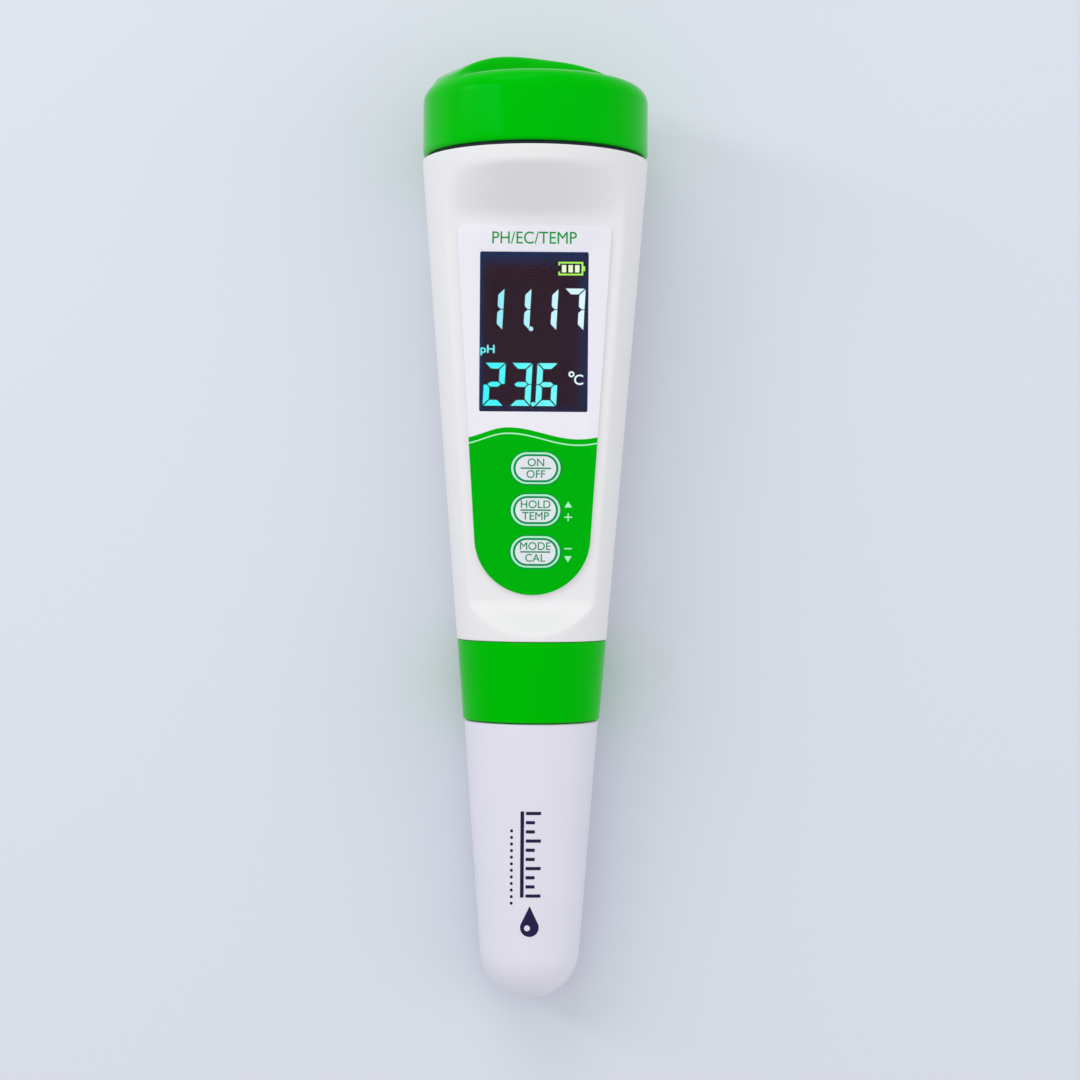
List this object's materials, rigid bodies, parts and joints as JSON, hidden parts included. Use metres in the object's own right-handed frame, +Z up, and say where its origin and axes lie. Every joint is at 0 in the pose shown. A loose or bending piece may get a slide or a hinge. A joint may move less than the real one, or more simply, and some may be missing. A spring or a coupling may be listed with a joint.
{
  "type": "water test pen",
  "caption": "Tapered handheld pH, EC and temperature tester with a display, membrane keys, a screwed battery cap, and an electrode under a pull-off cap.",
  "frame": {"origin": "on the surface it lies on, under the centre of its bounding box", "axes": "+Y along the pen towards the battery cap, +Z up out of the display side as the pen lies on its back, +X to the right of the display"},
  "size_m": [0.038, 0.158, 0.0387],
  "materials": {
    "white_shell": "satin gloss moulded ABS",
    "green_shell": "gloss moulded ABS",
    "overlay_print": "printed polyester film",
    "key_face": "embossed printed film",
    "window": "clear acrylic",
    "display_glass": "polarised glass",
    "light_guide": "frosted acrylic",
    "white_frame": "moulded",
    "zebra_rubber": "silicone",
    "board_green": "solder mask",
    "chip_black": "moulded epoxy",
    "small_parts": "ceramic and tin",
    "grey_plastic": "moulded",
    "plated_steel": "nickel plated",
    "nickel": "nickel plated spring steel",
    "red_sleeve": "wire sleeve",
    "gold_plate": "gold flash",
    "sensor_grey": "moulded",
    "bulb_glass": "blown pH glass",
    "silver_wire": "chlorided silver",
    "ceramic": "porous ceramic",
    "graphite": "graphite",
    "black_rubber": "nitrile rubber",
    "sponge": "wet cellulose sponge"
  },
  "bodies": {
    "housing": {"housing": "white_shell", "cap_gasket": "black_rubber", "key_overlay": "overlay_print", "window_lens": "window", "lcd_glass": "display_glass", "backlight": "light_guide", "lcd_frame": "white_frame", "zebra_strip": "zebra_rubber", "main_board": "board_green", "control_chip": "chip_black", "board_parts": "small_parts", "switch_bodies": "chip_black", "board_carrier": "grey_plastic", "board_screws": "plated_steel", "battery_tube": "grey_plastic", "spring_contact": "nickel", "battery_spring": "nickel", "positive_tab": "nickel", "battery_lead": "red_sleeve", "connector_socket": "chip_black", "socket_leads": "gold_plate"},
    "cells": {"button_cells": "plated_steel"},
    "battery_cap": {"battery_cap": "green_shell", "cap_contact": "gold_plate"},
    "power_key": {"power_key": "key_face", "power_switch_button": "chip_black"},
    "hold_key": {"hold_key": "key_face", "hold_switch_button": "chip_black"},
    "mode_key": {"mode_key": "key_face", "mode_switch_button": "chip_black"},
    "electrode": {"electrode_body": "sensor_grey", "ph_bulb": "bulb_glass", "reference_wire": "silver_wire", "reference_junction": "ceramic", "conductivity_pins": "graphite", "temperature_probe": "plated_steel", "plug_pins": "gold_plate", "plug_seal": "black_rubber", "cap_seal": "black_rubber"},
    "collar": {"collar": "green_shell"},
    "protective_cap": {"protective_cap": "white_shell", "storage_sponge": "sponge"}
  },
  "joints": [
    {"name": "cell_rise", "type": "slide", "parent": "housing", "child": "cells", "axis": [0, 0.9968, 0.0795], "range_m": [0, 0.0076], "deforming": ["battery_spring"]},
    {"name": "cap_turn", "type": "hinge", "parent": "cells", "child": "battery_cap", "pos_m": [0, 0.06658, 0.01937], "axis": [0, 0.9968, 0.0795], "range_deg": [0, 1080]},
    {"name": "electrode_draw", "type": "slide", "parent": "housing", "child": "electrode", "axis": [0, -0.9968, -0.0795], "range_m": [0, 0.0081]},
    {"name": "collar_turn", "type": "hinge", "parent": "electrode", "child": "collar", "pos_m": [0, -0.02513, 0.01205], "axis": [0, -0.9968, -0.0795], "range_deg": [0, 1440]},
    {"name": "cap_pull", "type": "slide", "parent": "electrode", "child": "protective_cap", "axis": [0, -0.9968, -0.0795], "range_m": [0, 0.045]},
    {"name": "power_press", "type": "slide", "parent": "housing", "child": "power_key", "axis": [0, 0.1182, -0.993], "range_m": [0, 0.0004], "stiffness_N_per_m": 1000},
    {"name": "hold_press", "type": "slide", "parent": "housing", "child": "hold_key", "axis": [0, 0.1182, -0.993], "range_m": [0, 0.0004], "stiffness_N_per_m": 1000},
    {"name": "mode_press", "type": "slide", "parent": "housing", "child": "mode_key", "axis": [0, 0.1182, -0.993], "range_m": [0, 0.0004], "stiffness_N_per_m": 1000}
  ],
  "couplings": [
    {"joint": "cell_rise", "follows": "cap_turn", "m_per_rad": 0.00039789},
    {"joint": "electrode_draw", "follows": "collar_turn", "m_per_rad": 0.00031831}
  ]
}
